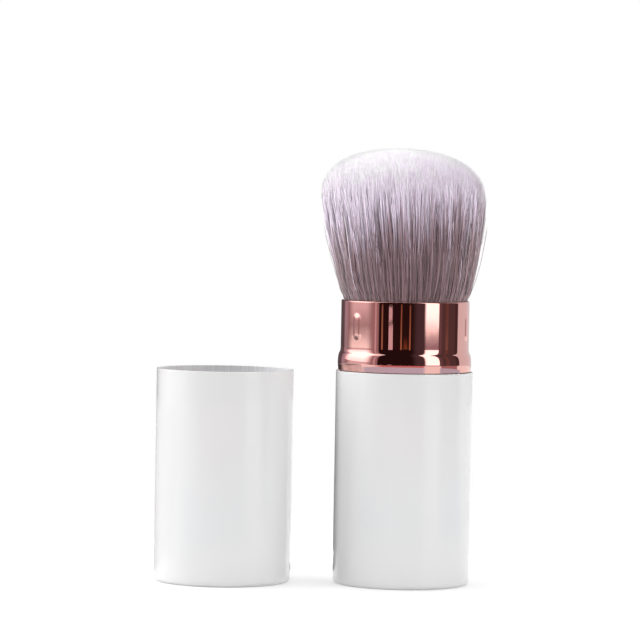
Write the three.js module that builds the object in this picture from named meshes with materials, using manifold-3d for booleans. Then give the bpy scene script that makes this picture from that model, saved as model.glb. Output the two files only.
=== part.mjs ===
// Retractable powder brush, standing open beside its cap, in millimetres with +Z up.
// The origin is the centre of the barrel's flat base, and the brush's axis is the Z axis.
// The barrel carries the bristle head on a post. The collar and the guide sleeve in it slide up
// round the bristles and gather them, so that the cap can go over them.

import * as THREE from "three";
import { mergeVertices } from "three/addons/utils/BufferGeometryUtils.js";
import Module from "manifold-3d";

const wasm = await Module();
wasm.setup();

// Fineness of round shapes
const roundSides = 42;
const postSides = 24;
const screwSides = 16;
const beadSteps = 4;
const roundSteps = 2;
const ringSides = 6;
const nubSides = 8;

// Fits shared by several pieces
const glueGap = 0.1; // around pieces that are glued or pressed together
const slideGap = 0.1; // around pieces that slide
const seatGap = 0.15; // between the collar and the rim that it comes down on
const cutOverrun = 1; // how far a cutting shape runs past what it cuts

// Shells, drawn from aluminium: the barrel's and the cap's
const barrelRadius = 17;
const barrelHeight = 52.9;
const capHeight = 52.8;
const shellWall = 0.4;
const shellFloor = 0.6;
const shellFootRound = 0.8;
const shellLipRound = 0.15;

// Where the cap stands, beside the barrel and a little nearer to the viewer
const capStandoff = 10.5;
const capForward = 1.9;

// Cap liner
const capLinerFloor = 0.5;
const capLinerRecess = 1.8;
const capLinerLead = 0.25;

// Weight in the barrel's foot
const weightThickness = 3;
const weightInset = 0.5; // from the barrel liner's outside to the weight's edge
const weightChamfer = 0.4;

// Barrel liner
const barrelLinerWall = 0.8;
const barrelLinerFloor = 1.2;
const keywayCount = 3;
const keywayWidth = 3;
const keywayDepth = 0.4;
const detentDepth = 0.12;

// Stop ring in the barrel's mouth
const stopRingHeight = 1.9;
const stopRingSink = 0.1;
const stopRingReach = 0.45; // how far it reaches in over the liner's bore
const stopRingChamfer = 0.3;

// Collar, with the bead at its foot
const collarStep = 1.07; // from the barrel's outside to the collar's
const collarHeight = 17.4;
const collarWall = 0.5;
const collarRimRound = 0.25;
const beadStep = 0.4; // from the barrel's outside to the bead's
const beadTaper = 0.15; // how far the bead draws in again at its foot
const beadBandHeight = 2.15;
const beadShoulderHeight = 2.6;
const beadCreaseRound = 0.35;

// Raised nubs round the collar, which rub in the cap
const nubCount = 3;
const nubHeight = 6.8;
const nubWidth = 3;
const nubRise = 0.28;
const nubFacet = 26; // which of the collar's facet edges the first nub lies on, round from +X
const nubGrip = 0.03; // how far the nubs press into the cap's liner

// Guide sleeve, which carries the collar and rubs in the barrel liner with two lands
const stroke = 30;
const sleeveWall = 0.75;
const sleeveReach = 9; // how far it goes up into the collar
const sleeveFootGap = 0.3; // between its foot and the liner's floor
const landHeight = 3;
const keySideGap = 0.1;

// Friction rings, one in each land
const frictionRingThickness = 0.76;
const frictionGrooveSideGap = 0.06;

// Ferrule round the foot of the bristles
const ferruleRunGap = 0.4; // between the ferrule and the sleeve that slides round it
const ferruleWall = 0.4;
const ferruleHeight = 10.6;
const ferruleDrop = 13.4; // from the collar's rim down to the ferrule's
const ferruleFloor = 0.5;
const ferruleHoleRadius = 4;

// Resin that bonds the bristles
const resinPlugThickness = 1.2;
const knotThickness = 4.4;
const knotSliceGap = 0.3;

// Bristle head
const headRadius = 20.6; // at its widest
const headRise = 37.4; // from the collar's rim to the top of the dome
const domeHeight = 11.6;
const domeRoundness = 2.3; // 2 is an ellipse, and more is fuller
const headLean = 1.3; // how far the top leans to the left
const leanCurve = 1.5; // 1 leans in a straight line, and more bends over later
const bristleRimGap = 0.15; // between the outermost bristles and the collar
const bellyRise = 9; // from the collar's rim to where the bristles stop bulging
const bellyOut = 1.9; // how far the outermost bristles bulge out over that rise
const strandRings = 9;
const innermostRingShare = 0.6; // its radius, as a share of the step between two rings
const strandSides = 3;
const strandsBuried = 0.5; // how deep the strands go into the resin
const strandRootRadius = 0.38;
const strandBellyRadius = 0.56;
const strandTipRadius = 0.5;

// Post that holds the ferrule up
const postRadius = 6;
const postBoreRadius = 4.4;
const postFootRadius = 9;
const postFootThickness = 2;
const postPlateInset = 0.8; // from the ferrule's outside to the plate's
const postPlateThickness = 2.2;
const postSpigotGap = 0.1;
const postRibCount = 4;
const postRibThickness = 1.2;
const postRibHeight = 8;
const postRibInset = 0.7;
const postFloor = 3;

// Screw that holds the post down
const screwRadius = 1.25;
const screwLength = 9;
const screwHeadRadius = 2.8;
const screwHeadHeight = 1.7;
const screwTipHeight = 1.2;
const screwHoleGap = 0.35;
const screwPilotGap = 0.05;
const screwPilotSpare = 0.8; // how much deeper the pilot hole is than the screw
const screwHeadClearance = 0.6;
const screwSlotWidth = 0.6;
const screwSlotDepth = 0.8;

// Radii that follow, from the outside in
const shellBore = barrelRadius - shellWall;
const linerRadius = shellBore - glueGap;
const linerBore = linerRadius - barrelLinerWall;
const stopRingBore = linerBore - stopRingReach;
const sleeveRadius = stopRingBore - slideGap;
const sleeveBore = sleeveRadius - sleeveWall;
const landRadius = linerBore - slideGap;
const collarRadius = barrelRadius - collarStep;
const collarBore = collarRadius - collarWall;
const beadRadius = barrelRadius - beadStep;
const ferruleRadius = sleeveBore - ferruleRunGap;
const ferruleBore = ferruleRadius - ferruleWall;
const knotRadius = ferruleBore - glueGap;
const capLinerBore = collarRadius + nubRise - nubGrip;

// Heights that follow, from the floor up
const weightFoot = shellFloor + glueGap;
const linerFoot = weightFoot + weightThickness + glueGap;
const linerFloorTop = linerFoot + barrelLinerFloor;
const stopRingTop = barrelHeight - stopRingSink;
const stopRingFoot = stopRingTop - stopRingHeight;
const linerTop = stopRingFoot - glueGap;
const upperLandTop = stopRingFoot - slideGap - stroke;
const sleeveFoot = linerFloorTop + sleeveFootGap;
const lowerRingHeight = sleeveFoot + landHeight / 2;
const upperRingHeight = upperLandTop - landHeight / 2;
const collarFoot = barrelHeight + seatGap;
const collarTop = collarFoot + collarHeight;
const sleeveTop = collarFoot + sleeveReach;
const ferruleTop = collarTop - ferruleDrop;
const ferruleFoot = ferruleTop - ferruleHeight;
const plugFoot = ferruleFoot + ferruleFloor + glueGap;
const knotFoot = plugFoot + resinPlugThickness + glueGap;
const knotTop = knotFoot + knotThickness;
const headTop = collarTop + headRise;
const shoulderHeight = headTop - domeHeight;
const postFoot = linerFloorTop + glueGap;
const postPlateTop = ferruleFoot - glueGap;
const postPlateFoot = postPlateTop - postPlateThickness;

// Finishes
const whiteLacquer = new THREE.MeshStandardMaterial({ color: 0xf2f2f3, roughness: 0.18, metalness: 0 });
const roseGold = new THREE.MeshStandardMaterial({ color: 0xc98f88, roughness: 0.1, metalness: 1 });
const plainAluminium = new THREE.MeshStandardMaterial({ color: 0xc4c5c8, roughness: 0.35, metalness: 1 });
const whitePlastic = new THREE.MeshStandardMaterial({ color: 0xe4e3e0, roughness: 0.45, metalness: 0 });
const greyPlastic = new THREE.MeshStandardMaterial({ color: 0xb9babd, roughness: 0.4, metalness: 0 });
const steel = new THREE.MeshStandardMaterial({ color: 0x9a9ca0, roughness: 0.4, metalness: 1 });
const silicone = new THREE.MeshStandardMaterial({ color: 0xcfcdca, roughness: 0.6, metalness: 0 });
const resin = new THREE.MeshStandardMaterial({ color: 0xcdbf9f, roughness: 0.35, metalness: 0 });
const bristleFibre = new THREE.MeshStandardMaterial({ color: 0xb8a4ae, roughness: 0.7, metalness: 0 });

const at = (radius, height) => new THREE.Vector2(radius, height);

// Points of an arc in the outline of a turned piece, both ends included, with angles in degrees.
function arc(radius, height, round, from, to, steps = roundSteps) {
  return Array.from({ length: steps + 1 }, (_, i) => {
    const angle = THREE.MathUtils.degToRad(from + ((to - from) * i) / steps);
    return at(radius + round * Math.cos(angle), height + round * Math.sin(angle));
  });
}

// A body turned about the Z axis. The outline runs up on the outside and down on the inside.
function turned(outline, sides = roundSides) {
  const closed = outline[0].x === 0 ? outline : [...outline, outline[0].clone()];
  return new THREE.LatheGeometry(closed, sides).rotateX(Math.PI / 2);
}

function solidOf(geometry) {
  const bare = geometry.clone().deleteAttribute("normal").deleteAttribute("uv");
  const merged = mergeVertices(bare);
  return new wasm.Manifold(
    new wasm.Mesh({
      numProp: 3,
      vertProperties: merged.attributes.position.array,
      triVerts: new Uint32Array(merged.index.array),
    }),
  );
}

function geometryOf(solid) {
  const mesh = solid.getMesh();
  const positions = new THREE.BufferAttribute(new Float32Array(mesh.vertProperties), mesh.numProp);
  const geometry = new THREE.BufferGeometry()
    .setAttribute("position", positions)
    .setIndex(new THREE.BufferAttribute(new Uint32Array(mesh.triVerts), 1));
  geometry.computeVertexNormals();
  return geometry;
}

function cut(geometry, ...cutters) {
  const solid = cutters.reduce((left, cutter) => left.subtract(solidOf(cutter)), solidOf(geometry));
  return geometryOf(solid);
}

function joined(geometry, ...additions) {
  const solid = additions.reduce((whole, addition) => whole.add(solidOf(addition)), solidOf(geometry));
  return geometryOf(solid);
}

function piece(name, geometry, material) {
  const mesh = new THREE.Mesh(geometry, material);
  mesh.name = name;
  return mesh;
}

// Turned copies of a shape, evenly round the Z axis.
function around(count, make) {
  return Array.from({ length: count }, (_, i) => make().rotateZ((2 * Math.PI * i) / count));
}

// A drawn can with a rounded foot and a rounded lip.
function shellCan(height) {
  const innerRound = shellFootRound - shellWall;
  return turned([
    at(0, 0),
    ...arc(barrelRadius - shellFootRound, shellFootRound, shellFootRound, -90, 0),
    ...arc(barrelRadius - shellLipRound, height - shellLipRound, shellLipRound, 0, 90, 1),
    at(shellBore, height),
    ...arc(shellBore - innerRound, shellFloor + innerRound, innerRound, 0, -90, 1),
    at(0, shellFloor),
  ]);
}

// A cup with a chamfered mouth, and a chamfered foot that clears the shell's inner round.
function capLiner() {
  const foot = shellFloor + glueGap;
  const top = capHeight - capLinerRecess;
  return turned([
    at(0, foot),
    at(linerRadius - shellFootRound + shellWall, foot),
    at(linerRadius, foot + shellFootRound - shellWall),
    at(linerRadius, top),
    at(capLinerBore + capLinerLead, top),
    at(capLinerBore, top - capLinerLead),
    at(capLinerBore, foot + capLinerFloor + shellWall),
    at(capLinerBore - shellWall, foot + capLinerFloor),
    at(0, foot + capLinerFloor),
  ]);
}

function baseWeight() {
  const radius = linerRadius - weightInset;
  const hole = screwHeadRadius + screwHeadClearance;
  const top = weightFoot + weightThickness;
  return turned([
    at(hole, weightFoot),
    at(radius - weightChamfer, weightFoot),
    at(radius, weightFoot + weightChamfer),
    at(radius, top),
    at(hole, top),
  ]);
}

// The liner's bore has a shallow groove for the upper friction ring at each end of the travel.
function barrelLiner() {
  const grooveHalf = frictionRingThickness / 2;
  const hole = screwRadius + screwHoleGap;
  const cup = turned([
    at(hole, linerFoot),
    at(linerRadius, linerFoot),
    at(linerRadius, linerTop),
    at(linerBore, linerTop),
    ...[upperRingHeight + stroke, upperRingHeight].flatMap((height) => [
      at(linerBore, height + grooveHalf),
      at(linerBore + detentDepth, height),
      at(linerBore, height - grooveHalf),
    ]),
    at(linerBore, linerFloorTop),
    at(hole, linerFloorTop),
  ]);
  const length = linerTop - linerFloorTop + cutOverrun;
  const keyway = () =>
    new THREE.BoxGeometry(keywayDepth + cutOverrun, keywayWidth, length).translate(
      linerBore + keywayDepth - (keywayDepth + cutOverrun) / 2,
      0,
      linerFloorTop + length / 2,
    );
  return cut(cup, ...around(keywayCount, keyway));
}

function stopRing() {
  return turned([
    at(stopRingBore, stopRingFoot),
    at(linerRadius, stopRingFoot),
    at(linerRadius, stopRingTop),
    at(stopRingBore + stopRingChamfer, stopRingTop),
    at(stopRingBore, stopRingTop - stopRingChamfer),
  ]);
}

// One side of the collar, from its foot up to where it runs straight.
function collarSide(inward, steps) {
  const bandTop = collarFoot + beadBandHeight;
  const crease = bandTop + beadShoulderHeight;
  const step = beadRadius - collarRadius;
  const shoulder = arc(0, 0, 1, 0, 90, steps).map((point) =>
    at(collarRadius + step * point.x - inward, bandTop + (beadShoulderHeight - beadCreaseRound) * point.y),
  );
  return [at(beadRadius - beadTaper - inward, collarFoot), ...shoulder, at(collarRadius - inward, crease)];
}

function collar() {
  const rimFoot = collarTop - collarRimRound;
  const inside = collarSide(collarWall, roundSteps).reverse();
  const band = turned([
    ...collarSide(0, beadSteps),
    ...arc(collarRadius - collarRimRound, rimFoot, collarRimRound, 0, 180, roundSteps + roundSteps),
    ...inside,
  ]);
  const nubMiddle = (collarTop + collarFoot + beadBandHeight + beadShoulderHeight) / 2;
  const nub = () =>
    new THREE.SphereGeometry(1, nubSides, nubSides)
      .rotateX(Math.PI / 2)
      .scale(nubRise + collarWall / 2, nubWidth / 2, nubHeight / 2)
      .translate(collarRadius - collarWall / 2, 0, nubMiddle)
      .rotateZ((2 * Math.PI * nubFacet) / roundSides);
  return joined(band, ...around(nubCount, nub));
}

// A land round the sleeve, with a groove for its friction ring at a given height.
function land(ringHeight) {
  const grooveFloor = landRadius - frictionRingThickness;
  const grooveHalf = frictionRingThickness / 2 + frictionGrooveSideGap;
  return [
    at(sleeveRadius, ringHeight - landHeight / 2),
    at(landRadius, ringHeight - landHeight / 2),
    at(landRadius, ringHeight - grooveHalf),
    at(grooveFloor, ringHeight - grooveHalf),
    at(grooveFloor, ringHeight + grooveHalf),
    at(landRadius, ringHeight + grooveHalf),
    at(landRadius, ringHeight + landHeight / 2),
    at(sleeveRadius, ringHeight + landHeight / 2),
  ];
}

function guideSleeve() {
  const inCollar = collarBore - glueGap;
  const tube = turned([
    at(sleeveBore, sleeveFoot),
    ...land(lowerRingHeight),
    ...land(upperRingHeight),
    at(sleeveRadius, collarFoot),
    at(inCollar, collarFoot),
    at(inCollar, sleeveTop),
    at(sleeveBore, sleeveTop),
  ]);
  const grooveFloor = landRadius - frictionRingThickness;
  const keyReach = linerBore + keywayDepth - keySideGap;
  const keyFoot = upperRingHeight + frictionRingThickness / 2 + frictionGrooveSideGap;
  const keyHeight = upperLandTop - keyFoot;
  const keyDepth = keyReach - grooveFloor;
  const key = () =>
    new THREE.BoxGeometry(keyDepth, keywayWidth - keySideGap - keySideGap, keyHeight).translate(
      keyReach - keyDepth / 2,
      0,
      keyFoot + keyHeight / 2,
    );
  return joined(tube, ...around(keywayCount, key));
}

function frictionRing(height) {
  const tube = (frictionRingThickness - frictionGrooveSideGap) / 2;
  const middle = linerBore - slideGap / 2 - tube;
  return turned(arc(middle, height, tube, -90, 270 - 360 / ringSides, ringSides - 1));
}

function ferrule() {
  return turned([
    at(ferruleHoleRadius, ferruleFoot),
    at(ferruleRadius, ferruleFoot),
    at(ferruleRadius, ferruleTop),
    at(ferruleBore, ferruleTop),
    at(ferruleBore, ferruleFoot + ferruleFloor),
    at(ferruleHoleRadius, ferruleFoot + ferruleFloor),
  ]);
}

function resinPlug() {
  return turned([
    at(0, plugFoot),
    at(knotRadius, plugFoot),
    at(knotRadius, plugFoot + resinPlugThickness),
    at(0, plugFoot + resinPlugThickness),
  ]);
}

// One gusset under the plate, standing on the post's side.
function postRib() {
  const inner = postRadius - (postRadius - postBoreRadius) / 2;
  const outer = ferruleRadius - postPlateInset - postRibInset;
  const top = postPlateFoot + postPlateThickness / 2;
  const outline = new THREE.Shape([
    at(inner, postPlateFoot - postRibHeight),
    at(postRadius, postPlateFoot - postRibHeight),
    at(outer, postPlateFoot),
    at(outer, top),
    at(inner, top),
  ]);
  return new THREE.ExtrudeGeometry(outline, { depth: postRibThickness, bevelEnabled: false })
    .translate(0, 0, -postRibThickness / 2)
    .rotateX(Math.PI / 2);
}

function holderPost() {
  const plateRadius = ferruleRadius - postPlateInset;
  const spigotRadius = ferruleHoleRadius - postSpigotGap;
  const spigotBore = spigotRadius - (postRadius - postBoreRadius) / 2;
  const footTop = postFoot + postFootThickness;
  const screwTip = linerFoot + screwLength;
  const pilotTop = screwTip + screwPilotSpare;
  const pilotRadius = screwRadius + screwPilotGap;
  const body = turned(
    [
      at(pilotRadius, postFoot),
      at(postFootRadius, postFoot),
      at(postFootRadius, footTop),
      at(postRadius, footTop),
      at(postRadius, postPlateFoot),
      at(plateRadius, postPlateFoot),
      at(plateRadius, postPlateTop),
      at(spigotRadius, postPlateTop),
      at(spigotRadius, ferruleFoot + ferruleFloor),
      at(spigotBore, ferruleFoot + ferruleFloor),
      at(spigotBore, postPlateFoot),
      at(postBoreRadius, postPlateFoot - (postBoreRadius - spigotBore)),
      at(postBoreRadius, pilotTop + postFloor),
      at(0, pilotTop + postFloor),
      at(0, pilotTop),
      at(pilotRadius, pilotTop),
    ],
    postSides,
  );
  return joined(body, ...around(postRibCount, postRib));
}

// A pan head under the liner's floor, and a plain shank up into the post.
function postScrew() {
  const panTop = linerFoot - glueGap;
  const panFoot = panTop - screwHeadHeight;
  const tip = linerFoot + screwLength;
  const body = turned(
    [
      at(0, panFoot),
      at(screwHeadRadius - screwHeadHeight / 2, panFoot),
      at(screwHeadRadius, panFoot + screwHeadHeight / 2),
      at(screwHeadRadius, panTop),
      at(screwRadius, panTop),
      at(screwRadius, tip - screwTipHeight),
      at(0, tip),
    ],
    screwSides,
  );
  const length = screwHeadRadius;
  const slot = new THREE.BoxGeometry(length, screwSlotWidth, screwSlotDepth + cutOverrun);
  slot.translate(0, 0, panFoot + screwSlotDepth - (screwSlotDepth + cutOverrun) / 2);
  return cut(body, slot, slot.clone().rotateZ(Math.PI / 2));
}

// Height of the dome at a share of the head's radius.
function domeAt(radiusShare) {
  const fall = Math.min(1, radiusShare) ** domeRoundness;
  return shoulderHeight + domeHeight * (1 - fall) ** (1 / domeRoundness);
}

// The stations of a strand whose root lies at a share of the bundle's radius: resin, rim, belly, tip.
// The outermost strands run straight past the ferrule's lip to the collar's rim.
function strandStations(radiusShare, angle) {
  const rootHeight = knotTop - strandsBuried;
  const rimOut = collarBore - bristleRimGap - strandBellyRadius;
  const lipOut = ferruleBore - bristleRimGap - strandBellyRadius;
  const rootOut = lipOut - ((rimOut - lipOut) * (ferruleTop - rootHeight)) / (collarTop - ferruleTop);
  const tipOut = headRadius - strandTipRadius;
  const stations = [
    { out: rootOut, height: rootHeight, width: strandRootRadius },
    { out: rimOut, height: collarTop, width: strandBellyRadius },
    { out: rimOut + bellyOut, height: collarTop + bellyRise, width: strandBellyRadius },
    { out: tipOut, height: domeAt((radiusShare * tipOut) / headRadius), width: strandTipRadius },
  ];
  return stations.map(({ out, height, width }) => {
    const climb = Math.max(0, (height - collarTop) / headRise);
    const lean = headLean * climb ** leanCurve;
    return {
      x: radiusShare * out * Math.cos(angle) - lean,
      y: radiusShare * out * Math.sin(angle),
      z: height,
      width,
    };
  });
}

// One closed prism through the stations, with a corner facing outwards.
function strand(radiusShare, angle) {
  const stations = strandStations(radiusShare, angle);
  const corners = stations.flatMap(({ x, y, z, width }) =>
    Array.from({ length: strandSides }, (_, i) => {
      const turn = angle + (2 * Math.PI * i) / strandSides;
      return [x + width * Math.cos(turn), y + width * Math.sin(turn), z];
    }),
  );
  const faces = [];
  for (let level = 0; level < stations.length - 1; level++)
    for (let side = 0; side < strandSides; side++) {
      const low = level * strandSides + side;
      const lowNext = level * strandSides + ((side + 1) % strandSides);
      const high = low + strandSides;
      const highNext = lowNext + strandSides;
      faces.push([low, lowNext, highNext], [low, highNext, high]);
    }
  const last = corners.length - strandSides;
  for (let side = 1; side < strandSides - 1; side++)
    faces.push([0, side + 1, side], [last, last + side, last + side + 1]);
  return new wasm.Manifold(
    new wasm.Mesh({
      numProp: 3,
      vertProperties: new Float32Array(corners.flat()),
      triVerts: new Uint32Array(faces.flat()),
    }),
  );
}

// A quarter of the resin knot, with the strands that stand in it.
function bristleQuarter(quarter) {
  const startAngle = (quarter * Math.PI) / 2;
  const edge = knotSliceGap / 2;
  const trim = Math.asin(edge / knotRadius);
  const outline = new THREE.Shape()
    .moveTo(edge, edge)
    .lineTo(knotRadius * Math.cos(trim), edge)
    .absarc(0, 0, knotRadius, trim, Math.PI / 2 - trim, false);
  const slice = new THREE.ExtrudeGeometry(outline, {
    depth: knotThickness,
    bevelEnabled: false,
    curveSegments: Math.ceil(roundSides / 8),
  })
    .translate(0, 0, knotFoot)
    .rotateZ(startAngle);
  const parts = [solidOf(slice)];
  for (let ring = 0; ring < strandRings; ring++) {
    const radiusShare = (ring + innermostRingShare) / (strandRings - 1 + innermostRingShare);
    const inQuarter = 2 * ring + 1;
    for (let i = 0; i < inQuarter; i++) {
      const turn = ((i + 1 / 2) / inQuarter) * (Math.PI / 2);
      parts.push(strand(radiusShare, startAngle + turn));
    }
  }
  return geometryOf(wasm.Manifold.union(parts));
}

// The barrel and what is fixed in it
const handle = new THREE.Group();
handle.add(
  piece("barrel_shell", shellCan(barrelHeight), whiteLacquer),
  piece("base_weight", baseWeight(), steel),
  piece("barrel_liner", barrelLiner(), whitePlastic),
  piece("stop_ring", stopRing(), whitePlastic),
  piece("post_screw", postScrew(), steel),
  piece("holder_post", holderPost(), whitePlastic),
  piece("ferrule", ferrule(), plainAluminium),
  piece("resin_plug", resinPlug(), resin),
  ...["back_right", "back_left", "front_left", "front_right"].map((place, quarter) =>
    piece(`bristles_${place}`, bristleQuarter(quarter), bristleFibre),
  ),
);

// The collar and what slides with it
const slider = new THREE.Group();
slider.add(
  piece("collar", collar(), roseGold),
  piece("guide_sleeve", guideSleeve(), whitePlastic),
  piece("friction_ring_lower", frictionRing(lowerRingHeight), silicone),
  piece("friction_ring_upper", frictionRing(upperRingHeight), silicone),
);

// The cap, standing on its closed end beside the barrel
const cap = new THREE.Group();
cap.add(
  piece("cap_shell", shellCan(capHeight), whiteLacquer),
  piece("cap_liner", capLiner(), greyPlastic),
);
cap.position.set(-(barrelRadius + capStandoff + barrelRadius), -capForward, 0);

const brush = new THREE.Group();
brush.add(handle, slider, cap);

export default brush;
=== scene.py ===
"""Looks of a retractable powder brush and its cap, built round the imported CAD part.

The white cans, the plated collar and the plastic parts that can be seen are turned again with round
walls and rounded corners, and the bristles are made strand by strand. Sizes and outlines are in
millimetres, as in the CAD part, and become metres when a mesh is made.
"""

import logging
import math
from collections.abc import Sequence
from dataclasses import dataclass
from enum import Enum

import bmesh
import bpy
import numpy as np
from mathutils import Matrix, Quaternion, Vector, kdtree


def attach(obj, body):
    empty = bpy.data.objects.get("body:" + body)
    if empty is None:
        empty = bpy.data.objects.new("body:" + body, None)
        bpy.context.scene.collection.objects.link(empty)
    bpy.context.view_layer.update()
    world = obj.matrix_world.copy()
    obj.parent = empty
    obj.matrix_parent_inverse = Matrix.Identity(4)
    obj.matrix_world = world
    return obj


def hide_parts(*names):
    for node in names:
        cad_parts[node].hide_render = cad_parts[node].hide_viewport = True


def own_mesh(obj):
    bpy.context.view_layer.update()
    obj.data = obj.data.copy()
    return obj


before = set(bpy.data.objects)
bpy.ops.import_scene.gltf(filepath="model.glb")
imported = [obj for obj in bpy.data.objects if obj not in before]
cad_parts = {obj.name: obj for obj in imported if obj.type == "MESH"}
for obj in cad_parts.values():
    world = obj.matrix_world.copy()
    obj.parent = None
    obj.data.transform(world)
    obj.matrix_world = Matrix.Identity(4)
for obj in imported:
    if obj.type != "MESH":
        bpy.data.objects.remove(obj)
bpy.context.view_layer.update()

MM = 0.001
SAME_PLACE = 0.001 * MM
SHARP_ANGLE = math.radians(38)
HOLD = 1.7  # a holding point lies this many times the rounding from its corner
NOISE_LOW, NOISE_HIGH = 0.3, 0.7  # nearly all of a noise lies between these
TINY = 1e-6  # keeps a division by a length from failing
LOG = logging.getLogger("brush")
Tree, Node, Socket = bpy.types.NodeTree, bpy.types.Node, bpy.types.NodeSocket


class Body(Enum):
    """The bodies of the CAD part that a piece can ride on."""

    HANDLE = "handle"
    SLIDER = "slider"
    CAP = "cap"


# Materials


def linear(colour: str) -> tuple[float, float, float, float]:
    """Turns a colour as it is seen into the values that a shader takes.

    Args:
        colour: An sRGB colour, as a hash sign and six hex digits.

    Returns:
        Linear red, green and blue, and an alpha of 1.
    """
    seen = [int(colour[i : i + 2], 16) / 255 for i in (1, 3, 5)]
    red, green, blue = (c / 12.92 if c <= 0.04045 else ((c + 0.055) / 1.055) ** 2.4 for c in seen)
    return red, green, blue, 1.0


def per_metre(millimetres: float) -> float:
    """Gives the texture scale at which a pattern repeats every so many millimetres."""
    return 1 / (millimetres * MM)


def empty_tree(owner: bpy.types.Material | bpy.types.World) -> Tree:
    """Takes away the nodes that a material or world starts with.

    Args:
        owner: The material or world.

    Returns:
        Its empty node tree.
    """
    owner.use_nodes = True
    owner.node_tree.nodes.clear()
    return owner.node_tree


def feed(node: Node, inputs: dict) -> None:
    """Sets a node's inputs.

    Args:
        node: The node.
        inputs: For each input, by name or number, a plain value, the output that feeds it, or the
            node whose first output does.
    """
    for name, value in inputs.items():
        source = value.outputs[0] if isinstance(value, Node) else value
        if isinstance(source, Socket):
            node.id_data.links.new(source, node.inputs[name])
        else:
            node.inputs[name].default_value = source


def add_node(
    tree: Tree,
    kind: str,
    inputs: dict | None = None,
    stops: list[tuple[float, str]] | None = None,
    **settings: object,
) -> Node:
    """Adds a shader node with its settings and its links.

    Args:
        tree: The node tree that gets the node.
        kind: The node's type, without ShaderNode before it.
        inputs: What its inputs get, as feed says.
        stops: The places and colours of a colour ramp.
        **settings: The node's own properties.

    Returns:
        The new node.
    """
    node = tree.nodes.new(f"ShaderNode{kind}")
    for name, value in settings.items():
        setattr(node, name, value)
    feed(node, inputs or {})
    for number, (place, colour) in enumerate(stops or []):
        elements = node.color_ramp.elements
        stop = elements[number] if number < len(elements) else elements.new(place)
        stop.position = place
        stop.color = linear(colour)
    return node


@dataclass(frozen=True)
class Finish:
    """A finish: what a surface is made of and how it was made.

    Attributes:
        name: The material's name.
        colour: The sRGB colour of the surface where no pattern changes it.
        roughness: How dull the surface is.
        metallic: 1 for bare or plated metal.
        ior: Index of refraction, left at the default for metals.
        coat: Weight of a clear layer on top.
        coat_roughness: How dull the clear layer is.
        sheen: Weight of a pale bloom where the surface turns away.
    """

    name: str
    colour: str
    roughness: float
    metallic: float = 0.0
    ior: float = 1.5
    coat: float = 0.0
    coat_roughness: float = 0.03
    sheen: float = 0.0

    def material(self) -> bpy.types.Material:
        """Makes the material, or finds it where it was made before.

        Returns:
            The material.
        """
        made = bpy.data.materials.get(self.name)
        if made is None:
            made = bpy.data.materials.new(self.name)
            tree = empty_tree(made)
            plain = {
                "Base Color": linear(self.colour),
                "Roughness": self.roughness,
                "Metallic": self.metallic,
                "IOR": self.ior,
                "Coat Weight": self.coat,
                "Coat Roughness": self.coat_roughness,
                "Sheen Weight": self.sheen,
            }
            shader = add_node(tree, "BsdfPrincipled", plain)
            add_node(tree, "OutputMaterial", {"Surface": shader})
            self.pattern(shader)
        return made

    def pattern(self, shader: Node) -> None:
        """Adds what varies over the surface. A plain finish has nothing."""

    def grain(
        self, shader: Node, pitch: float, detail: float, stretch: Sequence[float] = (1, 1, 1)
    ) -> Socket:
        """Adds a noise fixed to the piece.

        Args:
            shader: The finish's shader.
            pitch: Size of its spots in millimetres.
            detail: How many finer layers lie on it.
            stretch: How much finer it is along X, Y and Z.

        Returns:
            The noise, from 0 to 1.
        """
        tree = shader.id_data
        place = add_node(tree, "TexCoord").outputs["Object"]
        scaled = add_node(tree, "Mapping", {"Vector": place, "Scale": stretch})
        inputs = {"Vector": scaled, "Scale": per_metre(pitch), "Detail": detail}
        return add_node(tree, "TexNoise", inputs).outputs["Fac"]

    def vary_gloss(self, shader: Node, noise: Socket, least: float, most: float) -> None:
        """Lets the roughness follow a noise.

        Args:
            shader: The finish's shader.
            noise: The noise, from 0 to 1.
            least: The least roughness, as a share of the finish's own.
            most: The most.
        """
        inputs = {
            "Value": noise,
            "From Min": NOISE_LOW,
            "From Max": NOISE_HIGH,
            "To Min": self.roughness * least,
            "To Max": self.roughness * most,
        }
        feed(shader, {"Roughness": add_node(shader.id_data, "MapRange", inputs)})

    def vary_colour(self, shader: Node, noise: Socket, dark: str, pale: str) -> None:
        """Lets the colour follow a noise, from a darker one to a paler one."""
        stops = [(NOISE_LOW, dark), (NOISE_HIGH, pale)]
        feed(shader, {"Base Color": add_node(shader.id_data, "ValToRGB", {"Fac": noise}, stops)})

    def relief(self, shader: Node, height: Socket | Node, depth: float, strength: float) -> None:
        """Raises the surface by a pattern, on top of any relief that it has already.

        Args:
            shader: The finish's shader.
            height: The pattern, from 0 to 1.
            depth: Its height from 0 to 1, in millimetres.
            strength: How much of it shows.
        """
        inputs = {"Height": height, "Distance": depth * MM, "Strength": strength}
        inputs |= {"Normal": link.from_socket for link in shader.inputs["Normal"].links}
        feed(shader, {"Normal": add_node(shader.id_data, "Bump", inputs)})


@dataclass(frozen=True)
class BakedLacquer(Finish):
    """White lacquer, sprayed on drawn aluminium and baked: glossy, with a faint orange peel."""

    peel_pitch: float = 1.3
    smear_pitch: float = 14.0

    def pattern(self, shader: Node) -> None:
        """Adds the orange peel, and a handled surface's slight change of gloss."""
        self.relief(shader, self.grain(shader, self.peel_pitch, 1), 0.004, 0.5)
        self.vary_gloss(shader, self.grain(shader, self.smear_pitch, 3), 0.85, 1.2)


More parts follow.
